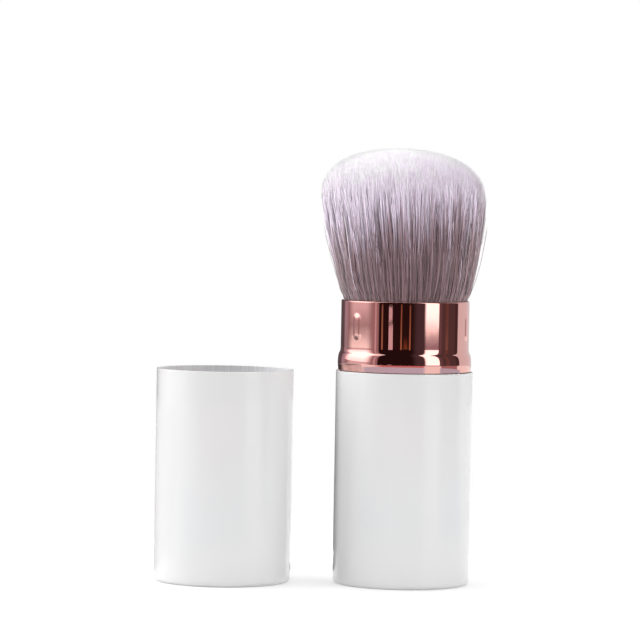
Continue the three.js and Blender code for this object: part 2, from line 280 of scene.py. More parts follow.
@dataclass(frozen=True)
class RoseGoldPlate(Finish):
    """Aluminium, polished and anodised rose gold: a pink mirror with a slightly wavy surface."""

    wave_pitch: float = 3.5
    line_pitch: float = 0.25  # real polishing lines are finer than a pixel

    def pattern(self, shader: Node) -> None:
        """Adds the waves that pressing leaves, and lines that polishing leaves round the band.

        Args:
            shader: The finish's shader.
        """
        lines = self.grain(shader, self.line_pitch, 2, (0.06, 0.06, 1))
        self.relief(shader, self.grain(shader, self.wave_pitch, 1, (1, 1, 0.55)), 0.007, 0.6)
        self.relief(shader, lines, 0.0002, 0.5)
        self.vary_gloss(shader, lines, 0.8, 1.4)


@dataclass(frozen=True)
class DrawnAluminium(Finish):
    """Aluminium, drawn and then etched: pale and nearly matt, with faint drawing lines."""

    line_pitch: float = 0.5

    def pattern(self, shader: Node) -> None:
        """Adds the drawing lines to the gloss, the colour and the relief.

        Args:
            shader: The finish's shader.
        """
        lines = self.grain(shader, self.line_pitch, 2, (1, 1, 0.03))
        self.vary_gloss(shader, lines, 0.8, 1.3)
        self.vary_colour(shader, lines, "#E6E6E8", "#F8F8F9")
        self.relief(shader, lines, 0.004, 0.6)


@dataclass(frozen=True)
class MouldedPlastic(Finish):
    """ABS or polypropylene, injection moulded in a fine-eroded mould, which leaves a soft satin."""

    texture_pitch: float = 0.35  # real moulds are finer than this, which would not show
    flow_pitch: float = 6.0

    def pattern(self, shader: Node) -> None:
        """Adds the mould's texture, and flow marks in the gloss."""
        self.relief(shader, self.grain(shader, self.texture_pitch, 2), 0.006, 0.5)
        self.vary_gloss(shader, self.grain(shader, self.flow_pitch, 2, (1, 1, 0.3)), 0.85, 1.15)


@dataclass(frozen=True)
class ZincedSteel(Finish):
    """Turned steel with a zinc plating, grey and faintly cloudy."""

    cloud_pitch: float = 2.5

    def pattern(self, shader: Node) -> None:
        """Adds clouds to the colour and the gloss.

        Args:
            shader: The finish's shader.
        """
        clouds = self.grain(shader, self.cloud_pitch, 4)
        self.vary_colour(shader, clouds, "#8E9094", "#B9BBBF")
        self.vary_gloss(shader, clouds, 0.8, 1.3)


@dataclass(frozen=True)
class SiliconeRubber(Finish):
    """Moulded silicone, milky and matt, with a little dust in its surface."""

    dust_pitch: float = 0.4

    def pattern(self, shader: Node) -> None:
        """Adds the dust to the gloss and the relief.

        Args:
            shader: The finish's shader.
        """
        dust = self.grain(shader, self.dust_pitch, 3)
        self.vary_gloss(shader, dust, 0.8, 1.2)
        self.relief(shader, dust, 0.008, 0.5)


@dataclass(frozen=True)
class CastResin(Finish):
    """Epoxy, poured and set: amber and glossy, with small bubbles."""

    bubble_pitch: float = 0.9
    cloud_pitch: float = 4.0

    def pattern(self, shader: Node) -> None:
        """Adds the bubbles to the relief, and the resin's cloudiness to its colour.

        Args:
            shader: The finish's shader.
        """
        tree = shader.id_data
        inputs = {
            "Vector": add_node(tree, "TexCoord").outputs["Object"],
            "Scale": per_metre(self.bubble_pitch),
        }
        away = add_node(tree, "TexVoronoi", inputs).outputs["Distance"]
        limits = {"Value": away, "From Min": 0.05, "From Max": 0.2}
        self.relief(shader, add_node(tree, "MapRange", limits), 0.05, 0.5)
        clouds = self.grain(shader, self.cloud_pitch, 3)
        self.vary_colour(shader, clouds, "#B9A77D", "#D3C6A4")


@dataclass(frozen=True)
class DyedFibre(Finish):
    """Drawn polyester bristle, dip-dyed from the root: brown, then lilac, and undyed at the tips.

    Each strand carries how high up the head its dye counts as, and its own shade, as attributes.
    """

    def pattern(self, shader: Node) -> None:
        """Adds the dye along the strand and the strand's own shade.

        Args:
            shader: The finish's shader.
        """
        tree = shader.id_data
        dye = add_node(tree, "Attribute", attribute_name="dye").outputs["Fac"]
        shade = add_node(tree, "Attribute", attribute_name="shade").outputs["Fac"]
        stops = [
            (0.0, "#826468"),
            (0.3, "#866970"),
            (0.42, "#9B7F89"),
            (0.52, "#C9B5C7"),
            (0.63, "#ECDBEF"),
            (0.72, "#F4E4F7"),
            (0.86, "#F6ECF9"),
            (1.0, "#F9F9F9"),
        ]
        dyed = add_node(tree, "ValToRGB", {"Fac": dye}, stops)
        shaded = add_node(tree, "HueSaturation", {"Color": dyed, "Value": shade})
        feed(shader, {"Base Color": shaded})


WHITE_LACQUER = BakedLacquer("white_baked_lacquer", "#DEDEDE", 0.16, coat=0.5)
ROSE_GOLD = RoseGoldPlate("rose_gold_anodised_aluminium", "#F0B9B0", 0.02, metallic=1.0)
BARE_ALUMINIUM = DrawnAluminium("etched_drawn_aluminium", "#E7E7E9", 0.6, metallic=0.12)
WHITE_ABS = MouldedPlastic("white_moulded_abs", "#E7E6E2", 0.36, ior=1.53)
GREY_POLYPROPYLENE = MouldedPlastic("grey_moulded_polypropylene", "#B9BABD", 0.42, ior=1.49)
ZINCED_STEEL = ZincedSteel("zinced_turned_steel", "#A4A6AA", 0.36, metallic=1.0)
SILICONE = SiliconeRubber("milky_silicone_rubber", "#D2D0CC", 0.55, ior=1.41)
EPOXY = CastResin("cast_epoxy", "#C7B891", 0.22, ior=1.55)
BRISTLE_FIBRE = DyedFibre("dyed_polyester_bristle", "#B8A4AE", 0.42, ior=1.57, sheen=1.0)


# Meshes


@dataclass(frozen=True)
class Corner:
    """A corner of a turned outline.

    Attributes:
        radius: Distance from the axis.
        height: Its height.
        rounding: Size of the bevel that rounds it, or 0.
    """

    radius: float
    height: float
    rounding: float = 0.0

    def towards(self, other: "Corner", distance: float) -> "Corner":
        """Gives the point so many millimetres from here on the way to another corner."""
        share = distance / self.distance(other)
        return Corner(
            self.radius + share * (other.radius - self.radius),
            self.height + share * (other.height - self.height),
        )

    def distance(self, other: "Corner") -> float:
        """Gives the distance to another corner."""
        return math.hypot(other.radius - self.radius, other.height - self.height)

    def holds(self, vert: bmesh.types.BMVert) -> bool:
        """Says whether a point of the turned mesh comes from this corner.

        Args:
            vert: The point.

        Returns:
            True where it stands at the corner's radius and height.
        """
        out = math.hypot(vert.co.x, vert.co.y)
        level = abs(vert.co.z - self.height * MM) < SAME_PLACE
        return level and abs(out - self.radius * MM) < SAME_PLACE


def curve(
    centre: Corner, wide: float, high: float, start: float, end: float, steps: int
) -> list[Corner]:
    """Gives the points of a part of an ellipse, both ends included.

    Args:
        centre: Its centre.
        wide: Its reach along the radius.
        high: Its reach along the height.
        start: Angle of its first point in degrees, from outwards to upwards.
        end: Angle of its last point in degrees.
        steps: How many steps it has.

    Returns:
        The points as corners without rounding.
    """
    angles = [math.radians(start + (end - start) * i / steps) for i in range(steps + 1)]
    return [
        Corner(centre.radius + wide * math.cos(a), centre.height + high * math.sin(a))
        for a in angles
    ]


def with_holding_points(outline: list[Corner]) -> list[Corner]:
    """Adds a point on each side of a rounded corner, so that the flats beside it look flat.

    Args:
        outline: The corners of a turned outline.

    Returns:
        The corners, with the holding points between them.
    """
    closed = outline[0].radius > 0
    count = len(outline)
    points: list[Corner] = []
    for number, corner in enumerate(outline):
        before = outline[number - 1] if number > 0 or closed else None
        after = outline[(number + 1) % count] if number + 1 < count or closed else None
        hold = corner.rounding * HOLD
        if hold and before and corner.distance(before) > hold + before.rounding * HOLD:
            points.append(corner.towards(before, hold))
        points.append(corner)
        if hold and after and corner.distance(after) > hold + after.rounding * HOLD:
            points.append(corner.towards(after, hold))
    return points


def spin(bm: bmesh.types.BMesh, geom: list, angle: float, steps: int, closed: bool) -> None:
    """Sweeps points and lines about the Z axis.

    Args:
        bm: The shape that they are in.
        geom: The points and lines.
        angle: How far they go, in radians.
        steps: In how many steps.
        closed: Whether the end is merged with the start.
    """
    bmesh.ops.spin(
        bm,
        geom=geom,
        cent=(0, 0, 0),
        axis=(0, 0, 1),
        dvec=(0, 0, 0),
        angle=angle,
        steps=steps,
        use_merge=closed,
    )


def turned(outline: list[Corner], steps: int = 192, segments: int = 4) -> bmesh.types.BMesh:
    """Turns an outline about the Z axis into a closed shape.

    Args:
        outline: The corners, up on the outside and down on the inside. It starts and ends on the
            axis, or else it is a ring.
        steps: Faces round the shape.
        segments: Faces across each rounding.

    Returns:
        The shape in metres.
    """
    bm = bmesh.new()
    corners = with_holding_points(outline)
    points = [bm.verts.new((c.radius * MM, 0, c.height * MM)) for c in corners]
    lines = [bm.edges.new(pair) for pair in zip(points, points[1:])]
    if outline[0].radius > 0:
        lines.append(bm.edges.new((points[-1], points[0])))
    spin(bm, points + lines, 2 * math.pi, steps, closed=True)
    bmesh.ops.remove_doubles(bm, verts=bm.verts[:], dist=SAME_PLACE)
    bmesh.ops.recalc_face_normals(bm, faces=bm.faces[:])
    for corner in outline:
        if corner.rounding:
            ring = [e for e in bm.edges if all(corner.holds(v) for v in e.verts)]
            bmesh.ops.bevel(
                bm,
                geom=ring,
                offset=corner.rounding * MM,
                offset_type="OFFSET",
                affect="EDGES",
                segments=segments,
                profile=0.5,
                material=-1,
            )
    return bm


def to_mesh(name: str, bm: bmesh.types.BMesh) -> bpy.types.Mesh:
    """Makes a mesh of a shape.

    Args:
        name: The mesh's name.
        bm: The shape, which is used up.

    Returns:
        The mesh.
    """
    mesh = bpy.data.meshes.new(name)
    bm.to_mesh(mesh)
    bm.free()
    return mesh


def add_object(name: str, data: bpy.types.ID) -> bpy.types.Object:
    """Adds an object to the scene, at the origin.

    Args:
        name: The object's name.
        data: Its mesh, light or camera.

    Returns:
        The object.
    """
    added = bpy.data.objects.new(name, data)
    bpy.context.scene.collection.objects.link(added)
    return added


def add_piece(
    bm: bmesh.types.BMesh,
    name: str,
    body: Body,
    slot: str,
    finishes: list[Finish],
    *stands_for: str,
) -> bpy.types.Object:
    """Makes an object of a finished shape, and ties it to the CAD part.

    Args:
        bm: The shape, in place and in metres. It is used up.
        name: The object's name.
        body: The body that the piece rides on.
        slot: The material slot of the record that its finish belongs to.
        finishes: The finishes that its faces point to.
        *stands_for: The CAD nodes that it is shown for.

    Returns:
        The object.
    """
    mesh = to_mesh(name, bm)
    mesh.shade_smooth()
    mesh.set_sharp_from_angle(angle=SHARP_ANGLE)
    return tie_piece(mesh, body, slot, finishes, *stands_for)


def tie_piece(
    mesh: bpy.types.Mesh, body: Body, slot: str, finishes: list[Finish], *stands_for: str
) -> bpy.types.Object:
    """Makes an object of a finished mesh, and ties it to the CAD part.

    Args:
        mesh: The mesh, whose name the object takes.
        body: The body that the piece rides on.
        slot: The material slot of the record that its finish belongs to. Not used.
        finishes: The finishes that its faces point to.
        *stands_for: The CAD nodes that it is shown for.

    Returns:
        The object.
    """
    for finish in finishes:
        mesh.materials.append(finish.material())
    piece = add_object(mesh.name, mesh)
    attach(piece, body.value)
    if stands_for:
        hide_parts(*stands_for)
    LOG.info("%s: %d faces, rides on the %s", piece.name, len(mesh.polygons), body.value)
    return piece


def dress(node: str, finish: Finish) -> None:
    """Gives a CAD node that stays as it is a better material.

    Args:
        node: The node's name.
        finish: Its finish.
    """
    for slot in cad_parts[node].material_slots:
        slot.material = finish.material()
    LOG.info("%s: kept, in %s", node, finish.name)


@dataclass
class Can:
    """A can drawn from aluminium sheet, lacquered outside and bare inside.

    Attributes:
        name: The piece's name.
        node: The CAD node that it is shown for.
        body: The body that it rides on.
        height: Its height.
        centre: Where its axis stands along X and Y.
        radius: Its outside radius.
        wall: Its wall's thickness.
        floor: Its floor's thickness.
        foot_round: Rounding outside its foot.
        lip_round: Rounding of its lip.
    """

    name: str
    node: str
    body: Body
    height: float
    centre: tuple[float, float] = (0.0, 0.0)
    radius: float = 17.0
    wall: float = 0.4
    floor: float = 0.6
    foot_round: float = 1.1
    lip_round: float = 0.15

    def build(self) -> None:
        """Makes the can."""
        bore = self.radius - self.wall
        outline = [
            Corner(0, 0),
            Corner(self.radius, 0, self.foot_round),
            Corner(self.radius, self.height, self.lip_round),
            Corner(bore, self.height, self.lip_round),
            Corner(bore, self.floor, self.foot_round - self.wall),
            Corner(0, self.floor),
        ]
        bm = turned(outline)
        for face in bm.faces:
            middle = face.calc_center_median()
            out = math.hypot(middle.x, middle.y) / MM
            inside = out < bore + self.lip_round / 2 and middle.z / MM > self.floor / 2
            face.material_index = int(inside)
        bmesh.ops.translate(bm, verts=bm.verts[:], vec=Vector((*self.centre, 0)) * MM)
        finishes = [WHITE_LACQUER, BARE_ALUMINIUM]
        add_piece(bm, self.name, self.body, "white_lacquer", finishes, self.node)


@dataclass
class Handle:
    """The barrel and what is fixed in it, apart from the bristles.

    Attributes:
        barrel_height: The barrel's height.
        ring_bore: Radius of the hole in the ring in the barrel's mouth.
        ring_radius: Outside radius of that ring.
        ring_foot: Its lowest height.
        ring_top: Its highest height.
        ring_chamfer: Size of the slope round its hole, which leads the sleeve in.
        ring_edge: Rounding of its edges.
        knot_radius: Radius of the resin in the ferrule.
        knot_foot: Its lowest height.
        knot_top: Its highest height.
        knot_edges: Roundings of its lower and upper edge.
    """

    barrel_height: float = 52.9
    ring_bore: float = 15.25
    ring_radius: float = 16.5
    ring_foot: float = 50.9
    ring_top: float = 52.8
    ring_chamfer: float = 0.3
    ring_edge: float = 0.1
    knot_radius: float = 13.5
    knot_foot: float = 48.35
    knot_top: float = 52.75
    knot_edges: tuple[float, float] = (0.3, 0.5)

    def build(self) -> None:
        """Makes the barrel, the ring in its mouth and the resin knot, and dresses what stays."""
        Can("barrel_can", "barrel_shell", Body.HANDLE, self.barrel_height).build()
        ring = turned(
            [
                Corner(self.ring_bore, self.ring_foot),
                Corner(self.ring_radius, self.ring_foot, self.ring_edge),
                Corner(self.ring_radius, self.ring_top, self.ring_edge),
                Corner(self.ring_bore + self.ring_chamfer, self.ring_top, self.ring_edge),
                Corner(self.ring_bore, self.ring_top - self.ring_chamfer, self.ring_edge),
            ]
        )
        add_piece(ring, "mouth_ring", Body.HANDLE, "white_plastic", [WHITE_ABS], "stop_ring")
        knot = turned(
            [
                Corner(0, self.knot_foot),
                Corner(self.knot_radius, self.knot_foot, self.knot_edges[0]),
                Corner(self.knot_radius, self.knot_top, self.knot_edges[1]),
                Corner(0, self.knot_top),
            ]
        )
        add_piece(knot, "resin_knot", Body.HANDLE, "resin", [EPOXY])
        dress("base_weight", ZINCED_STEEL)
        dress("post_screw", ZINCED_STEEL)
        dress("barrel_liner", WHITE_ABS)
        dress("holder_post", WHITE_ABS)
        dress("ferrule", BARE_ALUMINIUM)
        dress("resin_plug", EPOXY)


@dataclass
class Collar:
    """The collar that slides up round the bristles.

    Attributes:
        foot: Its lowest height.
        top: Its highest height.
        radius: Its outside radius above the bead.
        wall: Its wall's thickness.
        rim_round: Rounding of its rim.
        bead_radius: The bead's outside radius.
        bead_taper: How far the bead draws in at its foot.
        bead_bend: How late it draws in. 1 would be a straight slope.
        bead_rows: Where that slope has its points, from its top, 0, to the foot, 1.
        foot_edge: Rounding of the foot's edges.
        band: Height of the bead's part below its shoulder.
        shoulder: Height of the bead's rounded shoulder.
        hollow: Height of the hollow that leads from the shoulder to the wall.
        slope: How far round their ellipses the shoulder and the hollow run, in degrees.
        nub_count: How many raised nubs there are.
        nub_height: A nub's height.
        nub_width: A nub's width.
        nub_rise: How far a nub stands out.
        nub_flank: How much of its half width a nub's flank takes.
        nub_turn: Angle of the first nub from the X axis in degrees.
        nub_middle: Height of the nubs' middles.
        steps: Faces round it.
        rim_steps: Faces across its rim.
        curve_steps: Faces across each of the bead's curves, outside and inside.
        rows: How many times its straight wall is divided, to raise the nubs in it.
    """

    foot: float = 53.05
    top: float = 70.45
    radius: float = 15.93
    wall: float = 0.5
    rim_round: float = 0.25
    bead_radius: float = 16.6
    bead_taper: float = 0.15
    bead_bend: float = 1.6
    bead_rows: tuple[float, ...] = (0.08, 0.16, 0.26, 0.38, 0.52, 0.68, 0.85)
    foot_edge: float = 0.08
    band: float = 1.98
    shoulder: float = 2.5
    hollow: float = 1.26
    slope: float = 70.0
    nub_count: int = 3
    nub_height: float = 6.8
    nub_width: float = 2.8
    nub_rise: float = 0.22
    nub_flank: float = 0.8
    nub_turn: float = 221.6
    nub_middle: float = 64.12
    steps: int = 384
    rim_steps: int = 10
    curve_steps: tuple[int, int] = (14, 6)
    rows: int = 48

    def build(self) -> None:
        """Turns the collar, and raises its nubs in the straight part of its wall."""
        rim_foot = Corner(self.radius - self.wall / 2, self.top - self.rim_round)
        rim = curve(rim_foot, self.wall / 2, self.rim_round, 0, 180, self.rim_steps)
        straight_foot = self.foot + self.band + self.shoulder + self.hollow
        outer_steps, inner_steps = self.curve_steps
        outside, inside = self.side(0, outer_steps), self.side(self.wall, inner_steps)
        outline = [*outside, *rim, *reversed(inside)]
        bm = turned(outline, self.steps)
        foot = Corner(self.radius, straight_foot)
        top = Corner(self.radius, self.top - self.rim_round)
        upright = [
            e
            for e in bm.edges
            if (foot.holds(e.verts[0]) and top.holds(e.verts[1]))
            or (foot.holds(e.verts[1]) and top.holds(e.verts[0]))
        ]
        bmesh.ops.subdivide_edges(bm, edges=upright, cuts=self.rows, use_grid_fill=True)
        self.raise_nubs(bm)
        add_piece(bm, "collar_band", Body.SLIDER, "rose_gold", [ROSE_GOLD], "collar")

    def side(self, inward: float, steps: int) -> list[Corner]:
        """Gives one side of the bead's outline, from its foot to where the collar runs straight.

        Args:
            inward: How far inside the outer side it lies.
            steps: Steps of each curve.

        Returns:
            The corners from the foot up.
        """
        band_top = self.foot + self.band
        wall_foot = band_top + self.shoulder + self.hollow
        turn = math.radians(self.slope)
        drop = (self.bead_radius - self.radius) / (1 - math.cos(turn))
        part = self.shoulder / (self.shoulder + self.hollow)
        low = Corner(self.bead_radius - drop * part - inward, band_top)
        high = Corner(self.radius + drop * (1 - part) - inward, wall_foot)
        tall_low, tall_high = self.shoulder / math.sin(turn), self.hollow / math.sin(turn)
        shoulder = curve(low, drop * part, tall_low, 0, self.slope, steps)
        hollow = curve(high, -drop * (1 - part), -tall_high, self.slope, 0, steps)
        out = self.bead_radius - inward
        band = [
            Corner(out - self.bead_taper * share**self.bead_bend, band_top - self.band * share)
            for share in reversed(self.bead_rows)
        ]
        foot = Corner(out - self.bead_taper, self.foot, self.foot_edge)
        return [foot, *band, *shoulder, *hollow[1:]]

    def raise_nubs(self, bm: bmesh.types.BMesh) -> None:
        """Presses the nubs out of the turned collar's wall.

        Args:
            bm: The turned collar.
        """
        half_width = self.nub_width / 2
        straight_half = self.nub_height / 2 - half_width
        pitch = 360 / self.nub_count
        for vert in bm.verts:
            out = math.hypot(vert.co.x, vert.co.y)
            if abs(out - self.radius * MM) > SAME_PLACE:
                continue
            angle = math.degrees(math.atan2(vert.co.y, vert.co.x)) - self.nub_turn
            nearest = (angle + pitch / 2) % pitch - pitch / 2
            beside = math.radians(nearest) * self.radius
            beyond = max(abs(vert.co.z / MM - self.nub_middle) - straight_half, 0)
            inside = (1 - math.hypot(beside, beyond) / half_width) / self.nub_flank
            share = min(1.0, max(0.0, inside))
            rise = self.nub_rise * share * share * (3 - 2 * share)
            grow = 1 + rise * MM / out
            vert.co.x *= grow
            vert.co.y *= grow


@dataclass
class Sleeve:
    """The sleeve under the collar, which slides in the barrel.

    Attributes:
        foot: Its lowest height.
        top: Its highest height.
        bore: Its inside radius.
        radius: Its outside radius between its lands.
        collar_foot: Height from which it is in the collar.
        collar_fit: Its outside radius there.
        lands: Heights of the middles of its two lands.
        land_radius: Outside radius of the lands.
        land_half: Half of a land's height.
        groove_radius: Radius of the bottom of a land's groove.
        groove_half: Half of a groove's height.
        edge: Rounding of the edges below the collar.
        top_edge: Rounding of the edges at its top.
        key_count: How many keys stop it turning.
        key_size: A key's size outwards, sideways and upwards.
        key_place: Distance of a key's middle from the axis, and its height.
    """

    foot: float = 5.3
    top: float = 62.05
    bore: float = 14.4
    radius: float = 15.15
    collar_foot: float = 53.05
    collar_fit: float = 15.33
    lands: tuple[float, float] = (6.8, 19.3)
    land_radius: float = 15.6
    land_half: float = 1.5
    groove_radius: float = 14.84
    groove_half: float = 0.44
    edge: float = 0.1
    top_edge: float = 0.15
    key_count: int = 3
    key_size: tuple[float, float, float] = (1.16, 2.8, 1.06)
    key_place: tuple[float, float] = (15.42, 20.27)

    def build(self) -> None:
        """Turns the sleeve, adds its keys, and dresses the friction rings in its grooves."""
        outline = [Corner(self.bore, self.foot, self.edge)]
        for middle in self.lands:
            outline += [
                Corner(self.radius, middle - self.land_half),
                Corner(self.land_radius, middle - self.land_half, self.edge),
                Corner(self.land_radius, middle - self.groove_half),
                Corner(self.groove_radius, middle - self.groove_half),
                Corner(self.groove_radius, middle + self.groove_half),
                Corner(self.land_radius, middle + self.groove_half),
                Corner(self.land_radius, middle + self.land_half, self.edge),
                Corner(self.radius, middle + self.land_half),
            ]
        outline += [
            Corner(self.radius, self.collar_foot),
            Corner(self.collar_fit, self.collar_foot),
            Corner(self.collar_fit, self.top, self.top_edge),
            Corner(self.bore, self.top, self.top_edge),
        ]
        bm = turned(outline)
        place = Vector((self.key_place[0], 0, self.key_place[1])) * MM
        for number in range(self.key_count):
            key = bmesh.ops.create_cube(bm, size=1)["verts"]
            bmesh.ops.scale(bm, verts=key, vec=Vector(self.key_size) * MM)
            bmesh.ops.translate(bm, verts=key, vec=place)
            turn = Quaternion((0, 0, 1), 2 * math.pi * number / self.key_count).to_matrix()
            bmesh.ops.rotate(bm, verts=key, cent=(0, 0, 0), matrix=turn)
        add_piece(bm, "sleeve_tube", Body.SLIDER, "white_plastic", [WHITE_ABS], "guide_sleeve")
        dress("friction_ring_lower", SILICONE)
        dress("friction_ring_upper", SILICONE)


@dataclass
class Cap:
    """The cap, standing mouth up beside the barrel.

    Attributes:
        height: Its height.
        centre: Where its axis stands along X and Y.
        cup_radius: Outside radius of the cup in it.
        cup_bore: Inside radius of the cup.
        cup_foot: The cup's lowest height.
        cup_floor: Height of the cup's floor.
        cup_top: The cup's highest height.
        cup_corner: Size of the slope round the cup's foot and floor.
        cup_chamfer: Size of the slope inside the cup's mouth.
        cup_edges: Roundings outside and inside the cup's mouth.
    """

    height: float = 52.8
    centre: tuple[float, float] = (-44.5, -1.9)
    cup_radius: float = 16.5
    cup_bore: float = 16.18
    cup_foot: float = 0.7
    cup_floor: float = 1.2
    cup_top: float = 51.0
    cup_corner: float = 0.4
    cup_chamfer: float = 0.25
    cup_edges: tuple[float, float] = (0.08, 0.1)

    def build(self) -> None:
        """Makes the cap's can and the cup in it."""
        Can("cap_can", "cap_shell", Body.CAP, self.height, self.centre).build()
        cup = [
            Corner(0, self.cup_foot),
            Corner(self.cup_radius - self.cup_corner, self.cup_foot),
            Corner(self.cup_radius, self.cup_foot + self.cup_corner),
            Corner(self.cup_radius, self.cup_top, self.cup_edges[0]),
            Corner(self.cup_bore + self.cup_chamfer, self.cup_top),
            Corner(self.cup_bore, self.cup_top - self.cup_chamfer, self.cup_edges[1]),
            Corner(self.cup_bore, self.cup_floor + self.cup_corner),
            Corner(self.cup_bore - self.cup_corner, self.cup_floor),
            Corner(0, self.cup_floor),
        ]
        bm = turned(cup)
        bmesh.ops.translate(bm, verts=bm.verts[:], vec=Vector((*self.centre, 0)) * MM)
        finishes = [GREY_POLYPROPYLENE]
        add_piece(bm, "cap_cup", Body.CAP, "grey_plastic", finishes, "cap_liner")


# Bristles


@dataclass(frozen=True)
class Bunches:
    """Bunches that the strands cling together in.

    Attributes:
        number: The number of each strand's bunch.
        middles: The bunches' middles in a disc of radius 1.
    """

    number: np.ndarray
    middles: np.ndarray

    @classmethod
    def scattered(cls, disc: np.ndarray, count: int, rng: np.random.Generator) -> "Bunches":
        """Scatters bunches over the disc, and gives each strand to the nearest.

        Args:
            disc: The strands' places in a disc of radius 1.
            count: How many bunches there are.
            rng: The source of the bunches' places.

        Returns:
            The bunches.
        """
        out, turn = np.sqrt(rng.random(count)), rng.uniform(0, 2 * np.pi, count)
        middles = np.stack([out * np.cos(turn), out * np.sin(turn)], axis=1)
        tree = kdtree.KDTree(count)
        for number, (x, y) in enumerate(middles):
            tree.insert((x, y, 0), number)
        tree.balance()
        return cls(np.array([tree.find((x, y, 0))[1] for x, y in disc]), middles)

    def pull(
        self, disc: np.ndarray, least: float, most: float, rng: np.random.Generator
    ) -> np.ndarray:
        """Gives the way that each strand is drawn towards its bunch's middle.

        Args:
            disc: The strands' places in a disc of radius 1.
            least: The share of the whole way that the loosest bunch draws its strands.
            most: The share that the tightest bunch draws them.
            rng: The source of the bunches' shares.

        Returns:
            For each strand, its way in the disc.
        """
        share = rng.uniform(least, most, len(self.middles))[self.number]
        return (self.middles[self.number] - disc) * share[:, None]

    def differ(self, spread: float, rng: np.random.Generator, values: int = 1) -> np.ndarray:
        """Draws normal values for each bunch, and gives its strands the same ones."""
        return rng.normal(0, spread, (len(self.middles), values))[self.number]


@dataclass(frozen=True)
class Strands:
    """All strands, laid out. Each array has a row for each strand.

    Attributes:
        angle: The angle of its root.
        centres: The middle of each of its levels, in metres.
        widths: Its radius at each level, in metres.
        dye: How high up the head its dye counts as at each level, from 0 to 1.
        shade: Its own brightness at each level, where 1 is the dye's.
    """

    angle: np.ndarray
    centres: np.ndarray
    widths: np.ndarray
    dye: np.ndarray
    shade: np.ndarray


